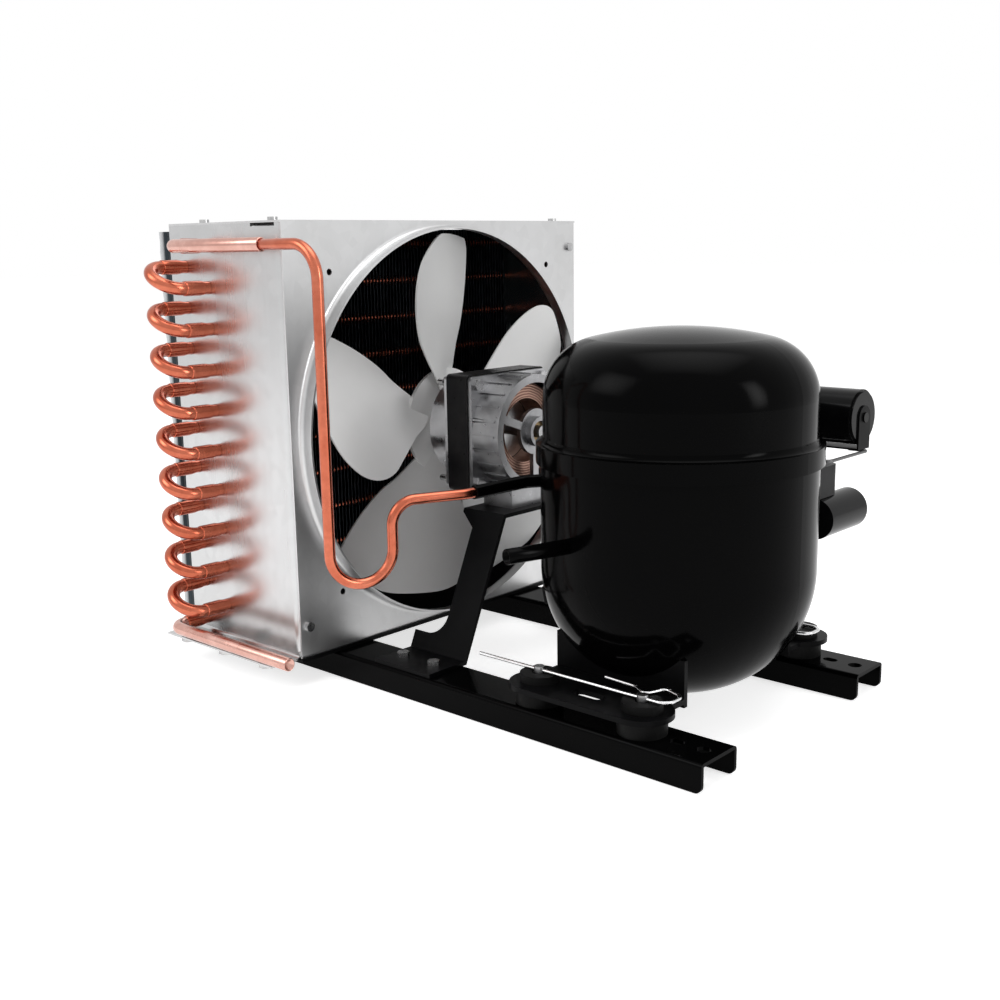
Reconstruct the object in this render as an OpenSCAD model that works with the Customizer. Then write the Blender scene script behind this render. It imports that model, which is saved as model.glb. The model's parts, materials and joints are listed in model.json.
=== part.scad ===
// Air-cooled condensing unit: hermetic compressor, finned condenser and fan on two base rails.
// Lengths are in millimetres. Modules are laid out from the shroud's near lower front corner,
// with +X from the condenser to the compressor, +Y away from the return bends and +Z up.

/* [Base rails] */
// Length of each rail
rail_l = 383; // [378:1:420]
// Width across a rail's web
rail_w = 32.5; // [30:0.5:36]
// Height of a rail
rail_h = 16; // [14:0.5:22]
// Sheet thickness of the rails
rail_t = 2; // [1.5:0.1:2.5]
// Distance between the centre lines of the rails and of the compressor's feet
rail_pitch = 165; // [160:1:172]
// From the near end plate to the front rail's centre line
rail_inset = 44; // [42:0.5:48]
// Radius of the bends along a rail
rail_bend_r = 2.5; // [2.5:0.1:3]
// Radius on the lower corners of the flanges
rail_corner_r = 4; // [2:0.5:6]
// Diameter of the holes that fasten the unit down
base_hole_d = 8; // [6.5:0.5:9]
// From a rail's end to its round hole
base_hole_inset = 9.5; // [8:0.5:12]
// Length of the slot beside each rear grommet
rail_slot_l = 9; // [8:0.5:10]
// Width of that slot
rail_slot_w = 6; // [5:0.5:7]

/* [Condenser] */
// Width of the condenser over its end plates
shroud_w = 270.5; // [268:0.5:276]
// Height of the end plates and the shroud
shroud_h = 264.5; // [263:0.5:272]
// Depth of the end plates
shroud_d = 110; // [108:1:116]
// Thickness of the galvanised sheet
sheet_t = 1.2; // [1:0.1:1.5]
// Outside diameter of the condenser tube
coil_od = 8; // [7.5:0.1:8.5]
// Wall of the condenser tube
coil_wall = 0.75; // [0.6:0.05:0.9]
// Vertical pitch of the tubes in a row
tube_pitch = 25.4; // [25:0.1:25.6]
// Distance between the two rows of tubes
row_pitch = 23; // [22:0.5:24]
// Number of tubes in a row
tube_count = 10; // [8:1:10]
// From the shroud's face back to the front row of tubes
front_row_inset = 72; // [70:0.5:74]
// From the top of the end plates down to the first tube
first_tube_drop = 13.8; // [13:0.1:15]
// How far the fins stand out behind the end plates
fin_overhang = 13.5; // [10:0.5:15]
// Distance from one modelled fin to the next
fin_pitch = 6.5; // [6:0.1:8]
// Thickness of a fin
fin_t = 0.6; // [0.4:0.1:0.8]
// Length of the belled legs outside the near end plate
bell_l = 17.5; // [15:0.5:19]
// Width of the bolted flange below the near end plate
foot_flange_w = 22; // [20:0.5:24]

/* [Fan shroud] */
// Radius of the round air opening
ring_r = 127; // [126:0.1:127.5]
// How far the drawn collar stands out of the face
ring_lip = 9; // [7:0.5:11]
// Radius of the bend where the collar leaves the face
ring_bend_r = 3; // [2.5:0.1:3.4]
// Distance across the guard holes, side to side
guard_w = 202; // [198:1:206]
// Distance between the guard holes, top to bottom
guard_h = 198; // [194:1:200]
// Diameter of the guard holes
guard_hole_d = 4; // [3:0.5:5]

/* [Fan and motor] */
// Radius of the fan over its blade tips
fan_r = 124; // [118:0.5:124.5]
// Number of blades
blade_count = 5; // [4:1:6]
// Angle of the blades to the plane of the fan
blade_pitch = 20; // [16:1:22]
// Radius of the blades' camber
blade_camber_r = 320; // [280:10:400]
// Thickness of the blade sheet
blade_t = 1.2; // [1:0.1:1.6]
// Diameter of the motor shaft
shaft_d = 8; // [6:0.5:9]
// Side of the motor's square lamination stack
stack_side = 74; // [72:0.5:76]
// Thickness of the lamination stack
stack_t = 17.5; // [16:0.5:20]
// From the shroud's face to the front of the stack
stack_x = 34; // [33:0.5:35]
// Radius of the motor's rear shell
rear_shell_r = 36; // [34:0.5:36]
// Radius of the motor's front shell
front_shell_r = 33; // [31:0.5:34]

/* [Compressor] */
// From the shroud's face to the compressor's axis
comp_x = 191; // [190:0.5:193]
// Outside radius of the upper shell
upper_r = 77; // [75:0.5:77.5]
// Outside radius of the lower shell
lower_r = 78.5; // [77:0.5:79]
// Thickness of the shells
shell_t = 3; // [2.5:0.1:3.5]
// Height of the shell's top above the floor
comp_top = 220; // [216:0.5:226]
// Height of the bowl's lowest point above the floor
comp_bottom = 12; // [10:0.5:13]
// Height of the weld band's lower edge above the floor
band_z = 145; // [143:0.5:147]
// Height of the weld band
band_h = 11; // [9:0.5:12]
// Distance between the two feet on one rail
foot_pitch = 70; // [68:0.5:72]
// Stroke of the piston
stroke = 18; // [14:1:20]
// Diameter of the piston
piston_d = 23; // [20:0.5:25]

/* [Piping] */
// Outside diameter of the discharge line
line_od = 6.35; // [6:0.05:6.4]
// Wall of the discharge line
line_wall = 0.75; // [0.6:0.05:0.9]
// Outside diameter of the compressor's stubs
stub_od = 8; // [7.5:0.1:8.5]
// Outside diameter of the suction stub
suction_od = 8.6; // [8:0.1:10]
// How far the suction stub stands out of the shell
suction_l = 38; // [30:1:42]

/* [Electrical] */
// Diameter of the start capacitor
cap_d = 33; // [30:0.5:34]
// Length of the start capacitor
cap_l = 62; // [58:1:64]
// Diameter of the run capacitor
run_cap_d = 25; // [23:0.5:27]
// Length of the run capacitor
run_cap_l = 46; // [40:1:48]

/* [Hidden] */
$fn = 96;

// One overrun serves every cut, and one gap every pair of curved faces that lie side by side
cut = 1;
seat_gap = 0.3;
run_gap = 0.05;

// Base and condenser sizes that follow
tray_t = 1.5;
tray_lip_h = 2.4;
base_z = rail_h + tray_t;
axis_y = rail_inset + rail_pitch / 2;
rail_x = -shroud_d;
rail_end = rail_x + rail_l;
top_z = base_z + shroud_h;
bend_od = coil_od;
braze_gap = 0.05;
bell_wall = 0.5;
bell_id = bend_od + 2 * braze_gap;
bell_od = bell_id + 2 * bell_wall;
bell_seat = 8;
tube_gap = 0.1;
back_row_inset = front_row_inset + row_pitch;
first_tube_z = top_z - first_tube_drop;
stagger = tube_pitch / 2;
bend_r = norm([row_pitch, stagger]) / 2;
hairpin_reach = 6;
bend_reach = bell_l + bend_r + bend_od / 2;
fin_margin = 3;
fin_clear = 0.4;
fin_lead = 6;
fin_front = front_row_inset - fin_lead;
collar_wall = 0.5;
plate_flange = 14;
plate_bend_r = 3.5;
flange_bolt_y = 15;
flange_bolt_pitch = 41;
flange_bolt_inset = 14;

// Origin at the middle of the outline, on the floor
x_low = -(shroud_d + fin_overhang);
y_low = -bend_reach;
y_high = shroud_w + hairpin_reach + bend_r + coil_od / 2;
module placed() translate([-(x_low + rail_end) / 2, -(y_low + y_high) / 2, 0]) children();

// Fan axis
fan_shift = 1.5;
fan_y = shroud_w / 2 + fan_shift;
fan_z = base_z + shroud_h / 2;
module on_fan_axis(x) translate([x, fan_y, fan_z]) rotate([0, 90, 0]) rotate([0, 0, 90]) children();

// Metric fasteners: size across the flats and height of the head
hex_share = 1.7;
head_share = 0.7;
nut_share = 0.6;
flat_share = cos(30);
module hex_bolt(d, grip) {
  cylinder(d = d, h = grip);
  translate([0, 0, -d * head_share]) cylinder(d = d * hex_share / flat_share, h = d * head_share, $fn = 6);
}
module hex_nut(d) difference() {
  cylinder(d = d * hex_share / flat_share, h = d * nut_share, $fn = 6);
  translate([0, 0, -cut]) cylinder(d = d, h = d * nut_share + 2 * cut);
}
module pan_screw(d, grip) {
  cylinder(d = d, h = grip);
  intersection() {
    translate([0, 0, -d * head_share]) cylinder(d = 2 * d, h = d * head_share);
    translate([0, 0, d]) sphere(d = 4 * d * head_share + d * hex_share);
  }
}

// A bent tube: straight runs between the bends, and an arc of radius r at each inner point of the path
least_run = 0.02;
joint_step = 0.04;
joint_lap = 0.4;
function unit(v) = v / norm(v);
function turn(a, b, c) = acos(max(-1, min(1, unit(b - a) * unit(c - b))));
function trim(path, i, r) =
  i <= 0 || i >= len(path) - 1 ? 0 : r[i] * tan(turn(path[i - 1], path[i], path[i + 1]) / 2);
module ring_section(od, id) difference() {
  circle(d = od);
  if (id > 0) circle(d = id);
}
module straight_run(a, b, od, id) {
  d = b - a;
  translate(a) rotate([0, acos(max(-1, min(1, d.z / norm(d)))), atan2(d.y, d.x)])
    linear_extrude(norm(d)) ring_section(od, id);
}
module elbow(a, b, c, r, od, id) {
  into = unit(b - a);
  out = unit(c - b);
  angle = turn(a, b, c);
  start = b - into * r * tan(angle / 2);
  centre = b + unit(out - into) * r / cos(angle / 2);
  e = (start - centre) / r;
  n = cross(e, into);
  multmatrix([[e.x, into.x, n.x, centre.x], [e.y, into.y, n.y, centre.y], [e.z, into.z, n.z, centre.z]])
    rotate_extrude(angle = angle) translate([r, 0]) ring_section(od, id);
}
module bent_tube(path, r, od, id = 0) {
  for (i = [0:len(path) - 2]) {
    d = unit(path[i + 1] - path[i]);
    a = path[i] + d * trim(path, i, r);
    b = path[i + 1] - d * trim(path, i + 1, r);
    if (norm(b - a) > least_run)
      straight_run(a - d * (i > 0 ? joint_lap : 0), b + d * (i < len(path) - 2 ? joint_lap : 0), od, id);
  }
  for (i = [1:1:len(path) - 2]) elbow(path[i - 1], path[i], path[i + 1], r[i],
    od + 2 * joint_step, id > 0 ? id - 2 * joint_step : 0);
}

// Base rails: channels open downwards
module channel_profile(w, h, t, r) difference() {
  union() {
    square([w, h - r]);
    translate([r, 0]) square([w - 2 * r, h]);
    for (x = [r, w - r]) translate([x, h - r]) circle(r);
  }
  translate([t, -cut]) square([w - 2 * t, h - t + cut]);
}
module rounded_slot(l, w) {
  square([l - w, w], center = true);
  for (s = [-1, 1]) translate([s * (l - w) / 2, 0]) circle(d = w);
}
module rail_side() {
  translate([0, rail_corner_r]) square([rail_l, rail_h - rail_corner_r]);
  translate([rail_corner_r, 0]) square([rail_l - 2 * rail_corner_r, rail_h]);
  for (x = [rail_corner_r, rail_l - rail_corner_r]) translate([x, rail_corner_r]) circle(rail_corner_r);
}
module rail(y) translate([rail_x, y, 0]) difference() {
  intersection() {
    translate([0, rail_w / 2, 0]) rotate([90, 0, 0]) linear_extrude(rail_w) rail_side();
    translate([0, -rail_w / 2, 0]) rotate([90, 0, 90]) linear_extrude(rail_l)
      channel_profile(rail_w, rail_h, rail_t, rail_bend_r);
  }
  for (x = [base_hole_inset, rail_l - base_hole_inset])
    translate([x, 0, 0]) cylinder(d = base_hole_d, h = rail_h + cut);
  translate([rail_slot_x - rail_x, 0, 0]) linear_extrude(rail_h + cut) rounded_slot(rail_slot_l, rail_slot_w);
  for (x = bracket_bolt_x) translate([x - rail_x, 0, 0]) cylinder(d = bracket_bolt_d, h = rail_h + cut);
  for (x = tray_bolt_x) translate([x - rail_x, 0, 0]) cylinder(d = bolt_d, h = rail_h + cut);
  for (x = foot_x) translate([x - rail_x, 0, 0]) cylinder(d = pin_d, h = rail_h + cut);
}
module front_rail() placed() color("#141416") rail(rail_inset);
module rear_rail() placed() color("#141416") rail(rail_inset + rail_pitch);

// Tray under the condenser, with a lip in front of the shroud
bolt_d = 5;
tray_bolt_x = [-20, -80];
module condenser_tray() placed() color("#1a1a1c") difference() {
  union() {
    translate([-shroud_d, 0, rail_h]) cube([shroud_d + sheet_t + tray_t, shroud_w, tray_t]);
    translate([sheet_t, 0, rail_h]) cube([tray_t, shroud_w, tray_lip_h]);
  }
  for (y = [rail_inset, rail_inset + rail_pitch]) {
    translate([rail_x + base_hole_inset, y, 0]) cylinder(d = base_hole_d, h = base_z + cut);
    for (x = tray_bolt_x) translate([x, y, 0]) cylinder(d = bolt_d, h = base_z + cut);
  }
}
module tray_bolts() placed() color("#c8cace")
  for (y = [rail_inset, rail_inset + rail_pitch]) for (x = tray_bolt_x)
    translate([x, y, rail_h - rail_t]) hex_bolt(bolt_d, rail_t + tray_t);

// Condenser coil: two staggered rows of tubes
function back_z(i) = first_tube_z - stagger - i * tube_pitch;
function front_z(i) = first_tube_z - i * tube_pitch;
module each_tube() for (i = [0:tube_count - 1]) {
  translate([-back_row_inset, 0, back_z(i)]) rotate([-90, 0, 0]) children();
  translate([-front_row_inset, 0, front_z(i)]) rotate([-90, 0, 0]) children();
}
// A sheet bent from its wall into a flange, as an outline in the plane square to the bend
module bent_corner(a, b, t, r) {
  translate([r, 0]) square([a - r, t]);
  translate([0, r]) square([t, b - r]);
  translate([r, r]) intersection() {
    difference() {
      circle(r);
      circle(r - t);
    }
    translate([-r, -r]) square(r);
  }
}
module end_plate(foot) difference() {
  union() {
    translate([0, 0, base_z + foot * plate_bend_r]) linear_extrude(shroud_h - sheet_t - foot * plate_bend_r)
      mirror([1, 0, 0]) bent_corner(shroud_d, plate_flange, sheet_t, plate_bend_r);
    if (foot > 0) mirror([1, 0, 0]) translate([0, sheet_t, base_z]) rotate([90, 0, 90])
      linear_extrude(shroud_d) mirror([1, 0, 0])
        bent_corner(foot_flange_w + sheet_t, plate_bend_r + cut, sheet_t, plate_bend_r);
  }
  translate([0, -cut, 0]) each_tube() cylinder(d = coil_od + 2 * tube_gap, h = plate_bend_r + cut);
  if (foot > 0) for (i = [0:2])
    translate([-flange_bolt_inset - i * flange_bolt_pitch, -flange_bolt_y, base_z - cut])
      cylinder(d = bolt_d, h = sheet_t + 2 * cut);
  for (z = face_screw_z) translate([0, screw_inset, z]) rotate([0, -90, 0]) cylinder(d = screw_d, h = sheet_t + cut);
  translate([-relief_l, -cut, top_z - sheet_t - relief_h]) cube([relief_l - plate_bend_r, 2 * plate_bend_r, relief_h + cut]);
}
relief_l = 26;
relief_h = 2;
module air_notch() on_fan_axis(-sheet_t - cut) cylinder(r = ring_r, h = sheet_t + 2 * cut);
module near_end_plate() placed() color("#b9bcc2") difference() {
  end_plate(1);
  air_notch();
}
module far_end_plate() placed() color("#b9bcc2") difference() {
  translate([0, shroud_w, 0]) mirror([0, 1, 0]) end_plate(0);
  air_notch();
}
module flange_bolts() placed() color("#c8cace") for (i = [0:2])
  translate([-flange_bolt_inset - i * flange_bolt_pitch, -flange_bolt_y, base_z])
    hex_bolt(bolt_d, sheet_t + nut_share * bolt_d);
module flange_nuts() placed() color("#c8cace") for (i = [0:2])
  translate([-flange_bolt_inset - i * flange_bolt_pitch, -flange_bolt_y, base_z + sheet_t]) hex_nut(bolt_d);

// Fins pressed over the tubes, each spaced from the next by the collars drawn round its holes
fin_span = shroud_w - 2 * (sheet_t + fin_clear);
fin_count = floor((fin_span - fin_t) / fin_pitch) + 1;
fin_step = (fin_span - fin_t) / (fin_count - 1);
module fin_pack() placed() color("#26282b") translate([0, sheet_t + fin_clear, 0]) difference() {
  union() {
    for (i = [0:fin_count - 1]) translate([x_low, i * fin_step, base_z + fin_margin / 2])
      cube([-x_low - fin_front, fin_t, shroud_h - 2 * fin_margin]);
    each_tube() cylinder(d = coil_od + 2 * collar_wall, h = fin_span);
  }
  translate([0, -cut, 0]) each_tube() cylinder(d = coil_od, h = fin_span + 2 * cut);
}
module hairpin(i) {
  far_y = shroud_w + hairpin_reach;
  front = [-front_row_inset, 0, front_z(i)];
  back = [-back_row_inset, 0, back_z(i)];
  out = [0, far_y + bend_r, 0];
  bent_tube([front, front + out, back + out, back], [0, bend_r, bend_r, 0], coil_od, coil_od - 2 * coil_wall);
  for (p = [front, back]) {
    straight_run(p - [0, bell_l, 0], p - [0, bell_l - bell_seat, 0], bell_od, bell_id);
    straight_run(p - [0, bell_l - bell_seat, 0], p, bell_od, coil_od - 2 * coil_wall);
  }
}
module coil_hairpins() placed() color("#b4664a") for (i = [0:tube_count - 1]) hairpin(i);
module return_bends() placed() color("#b4664a") for (i = [0:tube_count - 2]) {
  back = [-back_row_inset, bell_seat - bell_l, back_z(i)];
  front = [-front_row_inset, bell_seat - bell_l, front_z(i + 1)];
  out = [0, -bell_seat - bend_r, 0];
  bent_tube([back, back + out, front + out, front], [0, bend_r, bend_r, 0], bend_od, bend_od - 2 * coil_wall);
}

// Pipes along the end plate
header_r = 9.5;
header_y = -bell_l - header_r;
inlet_end = 19.5;
liquid_end = 24.5;
module inlet_pipe() placed() color("#c98f80") bent_tube([
    [-front_row_inset, bell_seat - bell_l, front_z(0)],
    [-front_row_inset, header_y, front_z(0)],
    [inlet_end, header_y, front_z(0)]
  ], [0, header_r, 0], bend_od, line_od + 2 * braze_gap);
module liquid_line() placed() color("#c98f80") bent_tube([
    [-back_row_inset, bell_seat - bell_l, back_z(tube_count - 1)],
    [-back_row_inset, header_y, back_z(tube_count - 1)],
    [liquid_end, header_y, back_z(tube_count - 1)]
  ], [0, header_r, 0], bend_od, bend_od - 2 * coil_wall);

// Discharge line from the compressor's stub to the inlet pipe, with a loop that takes up vibration
loop_x = 65.5;
loop_z = 81;
loop_w = 37;
loop_turn = 67;
run_z = 126;
stub_x = 98.5;
stub_y = 49;
stub_corner = [100.5, 98, run_z];
stub_turn = 54;
line_seat = 8;
stub_lead = 5;
loop_low = [loop_x, header_y, loop_z];
loop_across = [cos(loop_turn), sin(loop_turn), 0] * loop_w;
loop_up = [loop_low.x + loop_across.x, loop_low.y + loop_across.y, run_z];
stub_bend = [stub_x, stub_y, run_z];
stub_dir = unit(stub_corner - stub_bend);
stub_start = stub_bend + stub_lead * stub_dir;
line_bend_r = 14;
line_top_r = 19;
line_bend = [0, line_top_r, loop_w / 2, loop_w / 2, line_bend_r, line_bend_r, 0];
module discharge_line() placed() color("#b4664a") bent_tube([
    [inlet_end - line_seat, header_y, front_z(0)],
    [loop_x, header_y, front_z(0)],
    loop_low, loop_low + loop_across, loop_up, stub_bend,
    stub_start + line_seat * stub_dir
  ], line_bend, line_od, line_od - 2 * line_wall);

// Fan shroud: face with a drawn collar, and the top panel bent back over the condenser
screw_d = 3;
face_inset = 1;
guard_rise = 2.8;
screw_inset = 7.3;
face_screw_rise = 20;
face_screw_drop = 18.5;
face_screw_z = [base_z + face_screw_rise, top_z - face_screw_drop];
face_screws = [
  [screw_inset, face_screw_z[0]],
  [shroud_w - screw_inset, face_screw_z[0]],
  [shroud_w - screw_inset, face_screw_z[1]]
];
top_screw_x = [-14, -82];
top_screws = [for (x = top_screw_x) for (y = [screw_inset, shroud_w - screw_inset]) [x, y]];
module ring_profile() {
  translate([ring_r, ring_bend_r]) square([sheet_t, ring_lip - ring_bend_r]);
  translate([ring_r + sheet_t + ring_bend_r, ring_bend_r]) intersection() {
    difference() {
      circle(ring_bend_r + sheet_t);
      circle(ring_bend_r);
    }
    translate([-ring_bend_r - sheet_t, -ring_bend_r - sheet_t]) square(ring_bend_r + sheet_t);
  }
}
module fan_shroud() placed() color("#a9acb1") difference() {
  union() {
    difference() {
      translate([0, face_inset, base_z]) cube([sheet_t, shroud_w - 2 * face_inset, shroud_h]);
      on_fan_axis(-cut) cylinder(r = ring_r + sheet_t + ring_bend_r, h = sheet_t + 2 * cut);
    }
    on_fan_axis(sheet_t) rotate_extrude() ring_profile();
    translate([-shroud_d, 0, top_z - sheet_t]) cube([shroud_d + sheet_t, shroud_w, sheet_t]);
  }
  for (sy = [-1, 1]) for (sz = [-1, 1])
    translate([-cut, fan_y + sy * guard_w / 2, fan_z + guard_rise + sz * guard_h / 2]) rotate([0, 90, 0])
      cylinder(d = guard_hole_d, h = sheet_t + 2 * cut);
  for (p = face_screws) translate([-cut, p.x, p.y]) rotate([0, 90, 0]) cylinder(d = screw_d, h = sheet_t + 2 * cut);
  for (p = top_screws) translate([p.x, p.y, top_z - sheet_t - cut]) cylinder(d = screw_d, h = sheet_t + 2 * cut);
}
module shroud_screws() placed() color("#d4d6d9") {
  for (p = face_screws) translate([sheet_t, p.x, p.y]) rotate([0, -90, 0]) pan_screw(screw_d, 2 * sheet_t);
  for (p = top_screws) translate([p.x, p.y, top_z]) rotate([180, 0, 0]) pan_screw(screw_d, sheet_t);
}

// Fan: broad swept blades and their spider, pressed from one sheet
hub_disc_r = 36;
hub_r = 9;
hub_collar_r = 12.6;
hub_l = 12;
fan_x = -4;
fan_turn = -4;
// Outline of a blade as shares of the fan's radius: across the blade, then out from the axis
blade_share = [
  [-0.03, 0.16], [-0.06, 0.28], [-0.1, 0.42], [-0.15, 0.54], [-0.185, 0.7], [-0.198, 0.86], [-0.19, 0.955],
  [-0.15, 1], [-0.06, 1.02], [0.05, 1.01], [0.17, 0.975], [0.3, 0.9], [0.405, 0.82], [0.465, 0.73],
  [0.485, 0.64], [0.465, 0.54], [0.405, 0.44], [0.31, 0.36], [0.23, 0.3], [0.15, 0.24], [0.06, 0.16]
];
curve_steps = 4;
function wrapped(i) = blade_share[(i + len(blade_share)) % len(blade_share)];
function eased(a, b, c, d, t) =
  (2 * b + (c - a) * t + (2 * a - 5 * b + 4 * c - d) * t * t + (3 * b - a - 3 * c + d) * t * t * t) / 2;
blade_outline = [for (i = [0:len(blade_share) - 1]) for (k = [0:curve_steps - 1])
  let(p = eased(wrapped(i - 1), wrapped(i), wrapped(i + 1), wrapped(i + 2), k / curve_steps))
  [-p.x * fan_r * cos(blade_pitch), p.y * fan_r]];
module blade() intersection() {
  translate([-fan_r / 2, 0, 0]) rotate([90, 0, 90]) linear_extrude(fan_r) polygon(blade_outline);
  rotate([0, 0, blade_pitch]) translate([blade_camber_r, 0, 0]) difference() {
    cylinder(r = blade_camber_r + blade_t / 2, h = fan_r);
    translate([0, 0, -cut]) cylinder(r = blade_camber_r - blade_t / 2, h = fan_r + 2 * cut);
  }
  translate([-fan_r / 2, 0, 0]) rotate([0, 90, 0]) cylinder(r = fan_r, h = fan_r);
}
module fan_blades() placed() color("#e4e4e2") translate([fan_x, fan_y, fan_z]) difference() {
  union() {
    for (i = [0:blade_count - 1]) rotate([fan_turn + i * 360 / blade_count, 0, 0]) blade();
    rotate([0, 90, 0]) translate([0, 0, -blade_t]) cylinder(r = hub_disc_r, h = 2 * blade_t);
  }
  rotate([0, 90, 0]) translate([0, 0, -cut - blade_t]) cylinder(r = hub_r + run_gap, h = 2 * blade_t + 2 * cut);
}
module fan_hub() placed() color("#9a9da1") on_fan_axis(fan_x - hub_l + blade_t) difference() {
  union() {
    cylinder(r = hub_r, h = hub_l);
    cylinder(r = hub_collar_r, h = hub_l - 2 * blade_t);
  }
  translate([0, 0, -cut]) cylinder(d = shaft_d, h = hub_l + 2 * cut);
}

// Fan motor
stack_end = stack_x + stack_t;
bore_r = 20.5;
air_gap = 0.4;
stud_d = 4;
stud_pitch = 62;
winding_r = 30;
shell_wall = 2.5;
front_shell_l = 20;
vent_r = 4;
vent_share = 0.62;
rib_w = 1.2;
rib_h = 0.8;
lug_inset = 2;
rear_shell_l = 24.5;
shell_plate_t = 3;
bearing_r = 7;
bearing_l = 8;
shaft_front = fan_x - hub_l + blade_t;
shaft_tail = 6;
shaft_rear = stack_end + rear_shell_l + shaft_tail;
rotor_r = bore_r - air_gap;
module motor_rotor() placed() color("#8d9094") {
  on_fan_axis(shaft_front) cylinder(d = shaft_d, h = shaft_rear - shaft_front);
  on_fan_axis(stack_x) cylinder(r = rotor_r, h = stack_t);
}
module at_studs() for (sy = [-1, 1]) for (sz = [-1, 1])
  translate([sy * stud_pitch / 2, sz * stud_pitch / 2, 0]) children();
module stack_outline(side, corner) {
  square([side, side - 2 * corner], center = true);
  square([side - 2 * corner, side], center = true);
  for (sy = [-1, 1]) for (sz = [-1, 1])
    translate([sy * (side / 2 - corner), sz * (side / 2 - corner)]) circle(corner);
}
module motor_stack() placed() color("#17171a") on_fan_axis(stack_x) difference() {
  linear_extrude(stack_t) stack_outline(stack_side, stack_corner);
  translate([0, 0, -cut]) cylinder(r = bore_r, h = stack_t + 2 * cut);
  translate([0, 0, -cut]) at_studs() cylinder(d = stud_d, h = stack_t + 2 * cut);
}
stack_corner = 3;
front_winding_l = 11;
rear_winding_l = 16;
module winding_ring(l) difference() {
  cylinder(r = winding_r, h = l);
  translate([0, 0, -cut]) cylinder(r = bore_r, h = l + 2 * cut);
}
module motor_windings() placed() color("#b87a66") {
  on_fan_axis(stack_x - front_winding_l) winding_ring(front_winding_l);
  on_fan_axis(stack_end) winding_ring(rear_winding_l);
}
module shell_lugs(side) difference() {
  linear_extrude(shell_plate_t) stack_outline(stack_side - lug_inset, stack_corner);
  translate([0, 0, -cut]) cylinder(r = side, h = shell_plate_t + 2 * cut);
  translate([0, 0, -cut]) at_studs() cylinder(d = stud_d, h = shell_plate_t + 2 * cut);
}
module motor_front_shell() placed() color("#c4c6ca") {
  on_fan_axis(stack_x - front_shell_l) difference() {
    union() {
      cylinder(r = front_shell_r, h = front_shell_l);
      translate([0, 0, -bearing_l / 2]) cylinder(r = bearing_r + shell_wall, h = bearing_l);
    }
    translate([0, 0, shell_wall]) cylinder(r = front_shell_r - shell_wall, h = front_shell_l);
    translate([0, 0, -bearing_l]) cylinder(r = bearing_r, h = 2 * bearing_l);
    for (i = [0:7]) rotate([0, 0, 45 * i]) translate([front_shell_r * vent_share, 0, -cut])
      cylinder(r = vent_r, h = shell_wall + 2 * cut);
  }
  on_fan_axis(stack_x - shell_plate_t) shell_lugs(front_shell_r - shell_wall);
}
spoke_w = 5;
rim_w = 5;
motor_foot_w = 46;
motor_foot_l = 24;
module motor_rear_shell() placed() color("#c4c6ca") {
  on_fan_axis(stack_end) {
    difference() {
      union() {
        cylinder(r = rear_shell_r, h = rear_shell_l);
        for (i = [0:23]) rotate([0, 0, 15 * i]) translate([rear_shell_r - shell_wall / 2, -rib_w / 2, shell_plate_t])
          cube([shell_wall / 2 + rib_h, rib_w, rear_shell_l - 2 * shell_plate_t]);
      }
      translate([0, 0, -cut]) cylinder(r = rear_shell_r - shell_wall, h = rear_shell_l - shell_plate_t + cut);
      cylinder(r = rear_shell_r - rim_w, h = rear_shell_l + cut);
    }
    translate([0, 0, rear_shell_l - shell_plate_t]) difference() {
      union() {
        cylinder(r = bearing_r + 3 * shell_wall, h = shell_plate_t);
        translate([0, 0, -bearing_l / 2]) cylinder(r = bearing_r + shell_wall, h = bearing_l + shell_plate_t);
        for (a = [20, 160, 270]) rotate([0, 0, a]) translate([0, -spoke_w / 2, 0])
          cube([rear_shell_r - shell_wall, spoke_w, shell_plate_t]);
      }
      translate([0, 0, -bearing_l]) cylinder(r = bearing_r, h = 3 * bearing_l);
    }
    shell_lugs(rear_shell_r - shell_wall);
  }
  difference() {
    translate([stack_end, fan_y - motor_foot_w / 2, shelf_z]) cube([motor_foot_l, motor_foot_w, motor_foot_h]);
    on_fan_axis(stack_end - cut) cylinder(r = rear_shell_r - shell_wall, h = motor_foot_l + 2 * cut);
    for (s = [-1, 1]) translate([motor_screw_x, fan_y + s * motor_foot_w / 3, shelf_z - cut])
      cylinder(d = screw_d, h = 2 * screw_d + cut);
  }
}
module motor_bearings() placed() color("#a8834f") {
  on_fan_axis(stack_x - front_shell_l - bearing_l / 2) bearing();
  on_fan_axis(stack_end + rear_shell_l - shell_plate_t - bearing_l / 2) bearing();
}
module bearing() difference() {
  cylinder(r = bearing_r, h = bearing_l);
  translate([0, 0, -cut]) cylinder(d = shaft_d + 2 * run_gap, h = bearing_l + 2 * cut);
}
stud_l = stack_t + 2 * shell_plate_t;
stud_lead = 9;
module motor_studs() placed() color("#c8cace") on_fan_axis(stack_x - shell_plate_t) at_studs() {
  translate([0, 0, -stud_lead]) cylinder(d = stud_d, h = stud_l + stud_lead);
  translate([0, 0, stud_l]) cylinder(d = stud_d * hex_share / flat_share, h = stud_d * head_share, $fn = 6);
  translate([0, 0, -stud_d * head_share]) cylinder(d = stud_d * hex_share / flat_share, h = stud_d * head_share, $fn = 6);
}

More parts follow.
